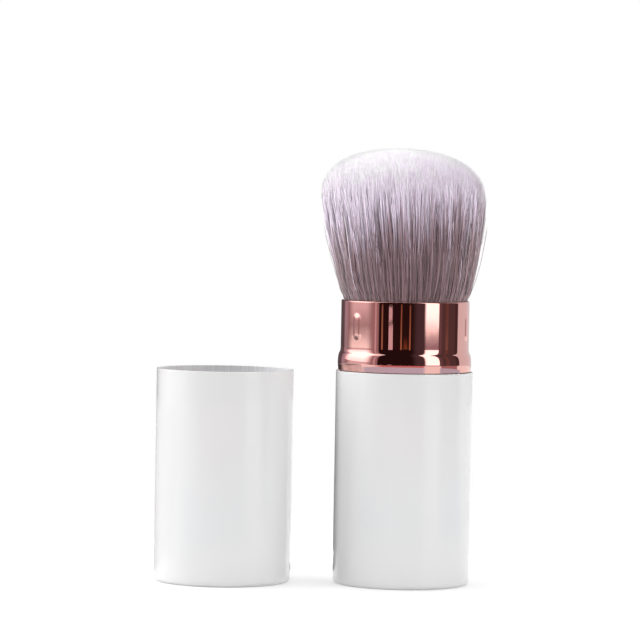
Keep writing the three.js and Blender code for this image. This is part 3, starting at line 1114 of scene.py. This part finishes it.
@dataclass
class BristleHead:
    """The flared head, strand by strand, in sectors.

    Of several spreads the last is the single strand's, and those before it are its bunches', the
    larger one's first.

    Attributes:
        strand_count: How many strands there are.
        sectors: How many pieces they are shared out to.
        root: Height of the strands' roots in the resin.
        rim: Height of the collar's rim.
        shoulder: Height of the outermost tips.
        dome: Height of the dome over them.
        fullness: 2 makes the dome an ellipse, and more makes it fuller.
        levels: A strand's levels, from the rim, 0, to the tip, 1. The first is in the resin.
        flare: The head's radius at each level.
        cling: How much the bunches draw their strands together at each level.
        taper: A strand's radius at each level, as a share of its thickness. Its end is thick, as
            the real ends are split.
        thickness: A strand's radius. Real ones are half as thick, and there are more of them.
        thickness_range: The least and the most of it that a strand has.
        jitter: Spread of the roots' angles in radians.
        brim: The share of the flare that no strand goes past.
        lean: How far the top leans to the left.
        lean_bend: How late it does so. 1 would be a straight slope.
        tuft_count: How many large bunches there are.
        tuft_pull: The least and the most that they draw their strands in.
        wisp_count: How many small bunches there are.
        wisp_pull: The least and the most that they draw theirs in.
        sway: Spread of the tips.
        bow: Spreads of the strands' middles, for a tuft and a strand.
        curl: Spreads of their S-shaped bends, for a wisp and a strand.
        stray_share: The share of strands that cross the others.
        stray_reach: How far they do at most.
        stray_return: How many times its length a stray strand would take to be back in line.
        short_share: The share of strands that broke off short.
        short_reach: How much shorter they are at most.
        uneven: Spread of the tips' heights.
        dye_and_light_slant: How much higher the dye reaches at the right than in the middle. It
            also paints light and shade: the head comes out paler at the left, where the strongest
            lamp shines, and darker at the right.
        dye_spread: Spreads of the dye's height, for a tuft, a wisp and a strand.
        undyed_share: The share of strands that the dye reached less.
        undyed_reach: The least and the most that it stays lower on them.
        shade_spread: Spreads of the brightness, for a wisp and a strand.
        stray_shade: How much brighter a stray strand is.
        shade_limits: The darkest and the brightest that a strand gets.
        shade_fade: How much of these differences the undyed tips lose.
        gathered: The share of its width that the head keeps with the collar up. Not used.
        roundness: How much of the head's own roundness the strands' shading follows.
        seed: Number that the strands' differences start from.
    """

    strand_count: int = 35000
    sectors: int = 12
    root: float = 52.25
    rim: float = 70.45
    shoulder: float = 96.6
    dome: float = 11.85
    fullness: float = 2.25
    levels: tuple[float, ...] = (-1, 0, 0.09, 0.22, 0.36, 0.5, 0.64, 0.78, 0.9, 1)
    flare: tuple[float, ...] = (12.45, 15.28, 16.2, 17.05, 17.8, 18.5, 19.1, 19.65, 20.1, 20.45)
    cling: tuple[float, ...] = (0, 0, 0.1, 0.35, 0.7, 1, 0.95, 0.7, 0.3, 0.08)
    taper: tuple[float, ...] = (0.8, 1, 1, 1, 1, 1, 1.05, 1.15, 1.25, 0.5)
    thickness: float = 0.07
    thickness_range: tuple[float, float] = (0.75, 1.2)
    jitter: float = 0.01
    brim: float = 1.01
    lean: float = 1.75
    lean_bend: float = 1.5
    tuft_count: int = 420
    tuft_pull: tuple[float, float] = (0.0, 0.2)
    wisp_count: int = 3400
    wisp_pull: tuple[float, float] = (0.05, 0.7)
    sway: float = 0.3
    bow: tuple[float, float] = (0.22, 0.28)
    curl: tuple[float, float] = (0.32, 0.16)
    stray_share: float = 0.022
    stray_reach: float = 12.0
    stray_return: float = 1.3
    short_share: float = 0.07
    short_reach: float = 9.0
    uneven: float = 0.3
    dye_and_light_slant: float = 3.4
    dye_spread: tuple[float, float, float] = (1.5, 2.5, 1.7)
    undyed_share: float = 0.05
    undyed_reach: tuple[float, float] = (3.0, 14.0)
    shade_spread: tuple[float, float] = (0.18, 0.42)
    stray_shade: float = 0.6
    shade_limits: tuple[float, float] = (-0.6, 0.9)
    shade_fade: float = 0.75
    gathered: float = 0.64
    roundness: float = 0.58
    seed: int = 11

    def build(self) -> None:
        """Makes the strands and shares them out to the sectors."""
        rng = np.random.default_rng(self.seed)
        ring, faces = self.template()
        strands = self.strands(rng)
        turn = rng.uniform(0, 2 * np.pi, self.strand_count)[:, None]
        levels = ring[:, 2].astype(int)
        across = ring[:, 0] * np.cos(turn) - ring[:, 1] * np.sin(turn)
        along = ring[:, 0] * np.sin(turn) + ring[:, 1] * np.cos(turn)
        own = np.stack([across, along, np.zeros_like(along)], axis=2)
        points = strands.centres[:, levels] + strands.widths[:, levels, None] * own
        normals = self.normals(strands.centres, own, levels)
        sector = np.floor(strands.angle / (2 * np.pi) * self.sectors).astype(int) % self.sectors
        quarters = ["back_right", "back_left", "front_left", "front_right"]
        for number in range(self.sectors):
            chosen = sector == number
            mesh = self.sector_mesh(f"bristles_{number + 1:02d}", points[chosen], faces)
            mesh.normals_split_custom_set_from_vertices(normals[chosen].reshape(-1, 3).tolist())
            for name, values in (("dye", strands.dye), ("shade", strands.shade)):
                attribute = mesh.attributes.new(name, "FLOAT", "POINT")
                spread = values[chosen][:, levels]
                attribute.data.foreach_set("value", spread.astype(np.float32).ravel())
            node = f"bristles_{quarters[number * len(quarters) // self.sectors]}"
            piece = tie_piece(mesh, Body.HANDLE, "bristle_fibre", [BRISTLE_FIBRE], node)
            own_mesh(piece)

    def template(self) -> tuple[np.ndarray, list[list[int]]]:
        """Makes one straight strand of three sides, with each level's number as its height.

        Returns:
            Its points, and for each face the numbers of its points.
        """
        bm = bmesh.new()
        verts = bmesh.ops.create_circle(bm, cap_ends=True, radius=1, segments=3)["verts"]
        edges = bm.edges[:]
        for _ in self.levels[1:]:
            grown = bmesh.ops.extrude_edge_only(bm, edges=edges)["geom"]
            verts = [g for g in grown if isinstance(g, bmesh.types.BMVert)]
            edges = [
                g
                for g in grown
                if isinstance(g, bmesh.types.BMEdge) and g.verts[0] in verts and g.verts[1] in verts
            ]
            bmesh.ops.translate(bm, verts=verts, vec=(0, 0, 1))
        tip = Vector((0, 0, verts[0].co.z))
        bmesh.ops.pointmerge(bm, verts=verts, merge_co=tip)
        bmesh.ops.recalc_face_normals(bm, faces=bm.faces[:])
        bm.verts.index_update()
        points = np.array([v.co[:] for v in bm.verts]).round(6)
        faces = [[v.index for v in f.verts] for f in bm.faces]
        bm.free()
        return points, faces

    def strands(self, rng: np.random.Generator) -> Strands:
        """Lays out every strand.

        Args:
            rng: The source of the differences between the strands.

        Returns:
            The strands.
        """
        count = self.strand_count
        number = np.arange(count)
        share = np.sqrt((number + 0.5) / count)
        golden = np.pi * (3 - math.sqrt(5))
        angle = (number * golden + rng.normal(0, self.jitter, count)) % (2 * np.pi)
        disc = np.stack([share * np.cos(angle), share * np.sin(angle)], axis=1)
        tufts = Bunches.scattered(disc, self.tuft_count, rng)
        wisps = Bunches.scattered(disc, self.wisp_count, rng)

        tuft_pull = tufts.pull(disc, *self.tuft_pull, rng)
        wisp_pull = wisps.pull(disc, *self.wisp_pull, rng)
        flare, cling = np.array(self.flare), np.array(self.cling)
        place = disc[:, None, :] + (wisp_pull + tuft_pull)[:, None, :] * cling[:, None]
        place *= flare[:, None]
        sway = rng.normal(0, self.sway, (count, 2))
        bow = rng.normal(0, self.bow[1], (count, 2)) + tufts.differ(self.bow[0], rng, 2)
        curl = rng.normal(0, self.curl[1], (count, 2)) + wisps.differ(self.curl[0], rng, 2)
        crosses = rng.random(count) < self.stray_share
        stray = np.where(crosses, rng.uniform(-self.stray_reach, self.stray_reach, count), 0)
        beside = np.stack([-np.sin(angle), np.cos(angle)], axis=1) * stray[:, None]
        bend = np.maximum(self.levels, 0)[:, None]
        place += sway[:, None, :] * bend**1.5
        place += bow[:, None, :] * np.sin(bend * np.pi)
        place += curl[:, None, :] * np.sin(bend * 2 * np.pi)
        place += beside[:, None, :] * (bend * (self.stray_return - bend))
        out = np.hypot(place[:, :, 0], place[:, :, 1])
        place *= np.minimum(1, flare * self.brim / np.maximum(out, TINY))[:, :, None]

        height = self.heights(place[:, -1], rng)
        place[:, :, 0] -= self.leaning(height)
        width = rng.uniform(*self.thickness_range, (count, 1))
        widths = self.thickness * width * np.array(self.taper)

        offset = tufts.differ(self.dye_spread[0], rng) + wisps.differ(self.dye_spread[1], rng)
        offset += rng.normal(0, self.dye_spread[2], (count, 1))
        undyed = rng.random((count, 1)) < self.undyed_share
        offset += undyed * rng.uniform(*self.undyed_reach, (count, 1))
        # Slants the dye line, which also paints light and shade: the head comes out paler at the
        # left, where the strongest lamp shines, and darker at the right.
        lit_side_shift = self.dye_and_light_slant * place[:, :, 0] / self.flare[-1]
        dye = np.clip((height - self.rim + offset - lit_side_shift) / self.rise(), 0, 1)
        # Strands and wisps differ in brightness at random, and the darkest of them also paint the
        # shade that falls in the gaps between the strands.
        shade = wisps.differ(self.shade_spread[0], rng)
        shade += rng.normal(0, self.shade_spread[1], (count, 1))
        shade += self.stray_shade * (stray != 0)[:, None]
        shade = 1 + np.clip(shade, *self.shade_limits) * (1 - self.shade_fade * dye)
        centres = np.concatenate([place, height[:, :, None]], axis=2)
        return Strands(angle, centres * MM, widths * MM, dye, shade)

    def heights(self, tips: np.ndarray, rng: np.random.Generator) -> np.ndarray:
        """Gives the height of each level of each strand, under the dome.

        Args:
            tips: Where each strand's tip stands, before the head leans.
            rng: The source of the tips' unevenness.

        Returns:
            For each strand, the height of each of its levels.
        """
        count = len(tips)
        fall = np.minimum(np.hypot(*tips.T) / self.flare[-1], 1) ** self.fullness
        tip = self.shoulder + self.dome * (1 - fall) ** (1 / self.fullness)
        tip -= np.abs(rng.normal(0, self.uneven, count))
        tip -= (rng.random(count) < self.short_share) * rng.uniform(0, self.short_reach, count)
        height = self.rim + (tip - self.rim)[:, None] * np.array(self.levels)
        height[:, 0] = self.root
        return height

    def rise(self) -> float:
        """Gives the height of the dome's top over the collar's rim."""
        return self.shoulder + self.dome - self.rim

    def leaning(self, height: np.ndarray) -> np.ndarray:
        """Gives how far to the left the head leans at a height."""
        climb = np.maximum(height - self.rim, 0) / self.rise()
        return self.lean * climb**self.lean_bend

    def normals(self, centres: np.ndarray, own: np.ndarray, levels: np.ndarray) -> np.ndarray:
        """Leans the strands' normals towards the head's, as light spreads from strand to strand.

        Args:
            centres: For each strand, the middle of each of its levels in metres.
            own: For each strand, the way that each of its points lies from its middle.
            levels: The level of each point.

        Returns:
            For each strand, the normal of each of its points.
        """
        flat = centres[:, :, :2].copy()
        flat[:, :, 0] += self.leaning(centres[:, :, 2] / MM) * MM
        flat /= np.array(self.flare)[:, None] * MM
        out = np.minimum((flat**2).sum(axis=2), 1)
        head = np.concatenate([flat, np.sqrt(1 - out)[:, :, None]], axis=2)[:, levels]
        mixed = own * (1 - self.roundness) + head * self.roundness
        return mixed / np.maximum(np.linalg.norm(mixed, axis=2, keepdims=True), TINY)

    def sector_mesh(
        self, name: str, points: np.ndarray, faces: list[list[int]]
    ) -> bpy.types.Mesh:
        """Repeats the template's faces for each strand of a sector.

        Args:
            name: The mesh's name.
            points: For each strand, its points in metres.
            faces: The template's faces.

        Returns:
            The mesh, shaded smooth.
        """
        strands, per_strand = points.shape[:2]
        sizes = np.array([len(face) for face in faces])
        corners = np.concatenate(faces)
        starts = np.concatenate([[0], np.cumsum(sizes)[:-1]])
        each = np.arange(strands)[:, None]
        verts = (corners + each * per_strand).astype(np.int32)
        loops = (starts + each * len(corners)).astype(np.int32)
        mesh = bpy.data.meshes.new(name)
        mesh.vertices.add(strands * per_strand)
        mesh.vertices.foreach_set("co", points.astype(np.float32).ravel())
        mesh.loops.add(strands * len(corners))
        mesh.loops.foreach_set("vertex_index", verts.ravel())
        mesh.polygons.add(strands * len(faces))
        mesh.polygons.foreach_set("loop_start", loops.ravel())
        mesh.update(calc_edges=True)
        mesh.validate()
        mesh.shade_smooth()
        return mesh


# Studio


@dataclass(frozen=True)
class Card:
    """A curved card round the brush, which only mirrors see.

    Attributes:
        start: Where it starts, in degrees round from the camera's side towards the right.
        end: Where it ends.
        below: Its sRGB colour at its lower edge.
        above: Its sRGB colour at its upper edge.
        feather: How many degrees each end takes to fade out.
        near: Radius and height of its lower edge in metres.
        far: Radius and height of its upper edge in metres.
        blend: The two heights in metres between which one colour turns into the other.
        strength: How bright it is.
        face: About how many degrees one of its faces takes.
        slack: How many degrees its feathers start past its ends.
    """

    start: float
    end: float
    below: str
    above: str
    feather: tuple[float, float] = (0.01, 0.01)
    near: tuple[float, float] = (2.4, -0.6)
    far: tuple[float, float] = (2.4, 1.6)
    blend: tuple[float, float] = (-0.045, -0.012)
    strength: float = 1.0
    face: float = 4.0
    slack: float = 0.5

    def build(self, number: int) -> None:
        """Makes the card.

        Args:
            number: The number that it is named by.
        """
        bm = bmesh.new()
        angle = math.radians(self.start - 90)
        ends = [
            bm.verts.new((math.cos(angle) * out, math.sin(angle) * out, height))
            for out, height in (self.near, self.far)
        ]
        line = bm.edges.new(ends)
        width = self.end - self.start
        steps = max(2, int(width / self.face))
        spin(bm, [*ends, line], math.radians(width), steps, closed=False)
        mesh = to_mesh(f"card_{number}", bm)
        mesh.materials.append(self.paper(mesh.name))
        card = add_object(mesh.name, mesh)
        card.visible_camera = False
        card.visible_diffuse = False
        card.visible_transmission = False
        card.visible_shadow = False

    def paper(self, name: str) -> bpy.types.Material:
        """Makes the card's own paper, which glows from one colour to the other.

        Args:
            name: The material's name.

        Returns:
            The material.
        """
        made = bpy.data.materials.new(name)
        tree = empty_tree(made)
        place = add_node(tree, "TexCoord").outputs["Object"]
        height = add_node(tree, "SeparateXYZ", {"Vector": place}).outputs["Z"]
        limits = {"Value": height, "From Min": self.blend[0], "From Max": self.blend[1]}
        share = add_node(tree, "MapRange", limits, interpolation_type="SMOOTHSTEP")
        stops = [(0.0, self.below), (1.0, self.above)]
        colours = add_node(tree, "ValToRGB", {"Fac": share}, stops)
        glow = add_node(tree, "Emission", {"Color": colours, "Strength": self.strength})
        looks = {"Fac": self.ends(tree, place), 1: add_node(tree, "BsdfTransparent"), 2: glow}
        add_node(tree, "OutputMaterial", {"Surface": add_node(tree, "MixShader", looks)})
        made.cycles.emission_sampling = "NONE"
        return made

    def ends(self, tree: Tree, place: Socket) -> Node:
        """Adds a factor that is 1 on the card and falls to 0 at its two ends.

        Args:
            tree: The paper's node tree.
            place: The place on the card.

        Returns:
            The node that gives the factor.
        """
        middle, half = (self.start + self.end) / 2, (self.end - self.start) / 2
        inputs = {"Vector": place, "Rotation": (0, 0, math.radians(90 - middle))}
        faced = add_node(tree, "Mapping", inputs)
        flat = add_node(tree, "SeparateXYZ", {"Vector": faced}).outputs
        turn = add_node(tree, "Math", {0: flat["Y"], 1: flat["X"]}, operation="ARCTAN2")
        degrees = add_node(tree, "Math", {0: turn}, operation="DEGREES")
        shares = []
        for side, fade in zip((-1, 1), self.feather):
            first, last = side * (half + self.slack), side * (half - fade)
            limits = {"Value": degrees, "From Min": first, "From Max": last}
            shares.append(add_node(tree, "MapRange", limits, interpolation_type="SMOOTHSTEP"))
        return add_node(tree, "Math", dict(enumerate(shares)), operation="MULTIPLY")


@dataclass(frozen=True)
class Lamp:
    """A soft lamp that shines on the brush.

    Attributes:
        name: The lamp's name.
        azimuth: Where it stands, in degrees round from the camera's side towards the right.
        elevation: How high it stands, in degrees.
        power: Its power in watts.
        width: Its width in metres.
        height: Its height in metres.
        distance: Its distance from the brush in metres.
    """

    name: str
    azimuth: float
    elevation: float
    power: float
    width: float = 0.8
    height: float = 0.8
    distance: float = 1.2

    def build(self, target: Vector) -> None:
        """Makes the lamp.

        Args:
            target: The point that it is turned to, in metres.
        """
        light = bpy.data.lights.new(self.name, "AREA")
        light.energy = self.power
        light.shape = "RECTANGLE"
        light.size, light.size_y = self.width, self.height
        lamp = add_object(self.name, light)
        turn, rise = math.radians(self.azimuth), math.radians(self.elevation)
        flat = math.cos(rise)
        away = Vector((math.sin(turn) * flat, -math.cos(turn) * flat, math.sin(rise)))
        lamp.location = target + away * self.distance
        lamp.rotation_euler = (-away).to_track_quat("-Z", "Y").to_euler()
        lamp.visible_glossy = False


@dataclass
class Studio:
    """The floor, the light round the brush, and the camera.

    Attributes:
        middle: The point that the lamps shine on, in metres.
        ambient: Strength of the light from all round.
        floor_radius: The floor's radius in metres.
        floor_height: Its height in metres, just under the brush.
        floor_sides: How many sides it has.
        shadow: How much of the floor's own shading shows near the brush.
        shadow_ends: The distances in metres from which it fades, and at which it is gone.
        eye: Where the camera stands, in metres.
        aim: The point that it looks at, in metres.
        roll: How far it is turned about its own line of sight, in degrees.
        lens: Its focal length in millimetres.
        sensor: Its sensor's width in millimetres.
    """

    middle: Vector = Vector((-0.02, 0, 0.055))
    ambient: float = 0.335
    floor_radius: float = 0.75
    floor_height: float = -0.05 * MM
    floor_sides: int = 96
    shadow: float = 0.55
    shadow_ends: tuple[float, float] = (0.05, 0.2)
    eye: Vector = Vector((0, -0.8516, 0.0965))
    aim: Vector = Vector((-0.0212, 0, 0.0652))
    roll: float = 0.986
    lens: float = 192.6
    sensor: float = 36.0

    def build(self) -> None:
        """Makes the whole studio."""
        for lamp in self.lamps():
            lamp.build(self.middle)
        for number, card in enumerate(self.cards(), 1):
            card.build(number)
        self.build_world()
        self.build_floor()
        self.build_camera()

    def lamps(self) -> list[Lamp]:
        """Gives the lamps. The strongest stands at the left.

        Returns:
            The lamps.
        """
        return [
            Lamp("lamp_left", -93, 30, 11.4, 0.9, 1.5),
            Lamp("lamp_front_left", -55, 48, 1.7),
            Lamp("lamp_right", 54, 24, 4.5),
            Lamp("lamp_top", 0, 84, 7.6, 1.0, 1.0),
            Lamp("lamp_back_left", -150, 45, 3.2),
            Lamp("lamp_back_right", 150, 38, 4.2),
        ]

    def cards(self) -> list[Card]:
        """Gives the cards that the collar and the lacquer mirror, by where they stand or lie.

        Returns:
            The cards, in the order of their numbers.
        """
        low, high, tall = (2.3, -0.6), (2.3, 1.6), (2.4, 7.0)
        foot, top = (2.3, -0.05), (2.3, -0.003)
        inner, middle, outer = (0.12, 0.0004), (0.37, 0.0004), (0.75, 0.0004)
        line, front_low, front_high = (2.3, -0.0438), (2.28, -0.02), (2.28, 1.6)
        wide, even = (22, 18), (20, 20)
        behind_left = [
            Card(-186, -159, "#4A4044", "#4E4448", (0.01, 6)),
            Card(-170, -126, "#5A5054", "#62585C"),
            # These three lie next to the brush and show only in reflections. The dark flag and the
            # dark floor patch paint shade on the barrel's left flank and foot, beside the cap. The
            # grey floor patch paints shade at the cap's foot.
            Card(-162, -122, "#443E40", "#443E40", (2, 14), (0.08, 0.0), (0.08, 0.049)),
            Card(-150, -118, "#5E5A5C", "#5E5A5C", (5, 14), (0.03, 0.0004), (0.08, 0.0004)),
            Card(-138, -94, "#C0BEC0", "#C0BEC0", (8, 8), (0.066, 0.0005), (0.125, 0.0005)),
            Card(-143, -120, "#A096A0", "#AA9CAA", (7, 8), low, high),
        ]
        left = [
            Card(-126, -44, "#8C7478", "#8C7478", near=(2.42, -0.6), far=(2.42, 1.6)),
            Card(-68, -47, "#A0868C", "#A0868C", (10, 3), low, high),
            Card(-55.8, -52.4, "#D2BCC2", "#CCB4BA", (1, 1), (2.28, -0.6), front_high),
            Card(-127, -56, "#FFFFFF", "#A0949A", wide, low, high, (-0.045, -0.02), 1.15),
            Card(-124, -58, "#B8A8AE", "#E6D8DE", wide, front_low, front_high, (-0.02, -0.004)),
            Card(-132, -58, "#EADCE0", "#FFFFFF", even, (2.2, 0.15), (2.2, 3.4), (0.15, 0.9), 2.2),
        ]
        front = [
            Card(-49.5, 40, "#2A1818", "#261616", (3, 14), far=tall),
            Card(12, 37, "#4C3E42", "#4A3C40", (12, 3), low, (2.3, 7.0)),
            Card(-43, -39.6, "#A8785E", "#946C5A", (1, 1), foot, top),
            Card(-29.2, -21.6, "#D8C2C8", "#D8C2C8", near=foot, far=(2.3, -0.0215)),
            Card(-29.2, -22.8, "#C8B2B8", "#D8C2C8", near=(2.3, -0.0175), far=(2.3, -0.006)),
            Card(-7.8, -5.4, "#A87458", "#8A5E4A", near=foot, far=top),
            Card(7.6, 10.2, "#A87458", "#8A5E4A", near=foot, far=top),
            Card(-7.8, 10.2, "#96684E", "#96684E", near=(2.3, -0.0462), far=line),
            Card(-3.4, 5.8, "#7C4426", "#2A1818", (4, 4), line, (2.3, -0.033), (-0.043, -0.034)),
        ]
        right = [
            Card(26, 66, "#5A4A4C", "#5A4A4C", near=(2.45, -0.6), far=tall),
            Card(32, 64, "#74666C", "#FFFFFF", (8, 2), (2.4, -0.6), tall, (-0.046, -0.012), 2.0),
            Card(63, 112, "#564446", "#544244", far=tall),
            Card(64, 71, "#6C5458", "#6C5458", (1, 4), low, high),
            Card(77, 85, "#7C5A50", "#6A4A44", (2, 2), low, high),
            Card(100, 110, "#483436", "#483436", (3, 1), low, high),
            Card(108, 176, "#E2E0E4", "#E0DEE2", (3, 2), low, high),
        ]
        floor = [
            Card(-176, -78, "#C0BABC", "#C0BABC", (6, 12), inner, outer),
            Card(-80, 38, "#C4D2E8", "#C4D2E8", (12, 8), inner, middle),
            Card(62, 116, "#BCCAE0", "#BCCAE0", (3, 10), inner, middle),
            Card(-60, 36, "#CC8484", "#CC8484", (26, 5), middle, outer),
            Card(64, 104, "#A88084", "#A88084", (3, 3), middle, outer),
        ]
        return behind_left + left + front + right + floor

    def seen_directly(self, tree: Tree) -> Node:
        """Adds a factor that is 1 for the camera, mirrors and glass, and 0 for light that falls.

        Args:
            tree: The node tree that gets it.

        Returns:
            The node that gives the factor.
        """
        path = add_node(tree, "LightPath").outputs
        mirrored = add_node(tree, "Math", {0: path["Is Camera Ray"], 1: path["Is Glossy Ray"]})
        inputs = {0: mirrored, 1: path["Is Transmission Ray"]}
        return add_node(tree, "Math", inputs, use_clamp=True)

    def build_world(self) -> None:
        """Makes the world: white where it is seen, and soft light where it falls on the brush."""
        world = bpy.data.worlds.new("white_studio")
        bpy.context.scene.world = world
        tree = empty_tree(world)
        white = linear("#FFFFFF")
        seen = add_node(tree, "Background", {"Color": white, "Strength": 1.0})
        light = add_node(tree, "Background", {"Color": white, "Strength": self.ambient})
        looks = {"Fac": self.seen_directly(tree), 1: light, 2: seen}
        add_node(tree, "OutputWorld", {"Surface": add_node(tree, "MixShader", looks)})

    def build_floor(self) -> None:
        """Makes the pale floor, which keeps the brush's shadow and runs out into white."""
        bm = bmesh.new()
        sides, radius = self.floor_sides, self.floor_radius
        bmesh.ops.create_circle(bm, cap_ends=True, radius=radius, segments=sides)
        bmesh.ops.translate(bm, verts=bm.verts[:], vec=(self.middle.x, 0, self.floor_height))
        floor = add_object("floor", to_mesh("floor", bm))
        paper = bpy.data.materials.new("white_paper")
        tree = empty_tree(paper)
        lit = add_node(tree, "BsdfDiffuse", {"Color": linear("#F4F4F4")})
        white = add_node(tree, "Emission", {"Color": linear("#FFFFFF"), "Strength": 1.0})
        place = add_node(tree, "TexCoord").outputs["Object"]
        away = add_node(tree, "VectorMath", {0: place, 1: self.middle}, operation="DISTANCE")
        limits = {
            "Value": away.outputs["Value"],
            "From Min": self.shadow_ends[0],
            "From Max": self.shadow_ends[1],
            "To Min": self.shadow,
            "To Max": 0.0,
        }
        near = add_node(tree, "MapRange", limits, interpolation_type="SMOOTHSTEP")
        shown = add_node(tree, "MixShader", {"Fac": near, 1: white, 2: lit})
        looks = {"Fac": self.seen_directly(tree), 1: lit, 2: shown}
        add_node(tree, "OutputMaterial", {"Surface": add_node(tree, "MixShader", looks)})
        paper.cycles.emission_sampling = "NONE"
        floor.data.materials.append(paper)

    def build_camera(self) -> None:
        """Makes the camera, and sets how colours are shown."""
        lens = bpy.data.cameras.new("camera")
        lens.lens = self.lens
        lens.sensor_width = self.sensor
        camera = add_object("camera", lens)
        camera.location = self.eye
        look = (self.aim - self.eye).to_track_quat("-Z", "Y")
        roll = Quaternion((0, 0, 1), math.radians(self.roll))
        camera.rotation_euler = (look @ roll).to_euler()
        bpy.context.scene.camera = camera
        bpy.context.scene.view_settings.view_transform = "Standard"


def main() -> None:
    """Builds the brush, its cap and the studio."""
    logging.basicConfig(level=logging.INFO, format="%(message)s")
    for part in (Handle(), Collar(), Sleeve(), Cap(), BristleHead(), Studio()):
        part.build()


if __name__ == "__main__":
    main()
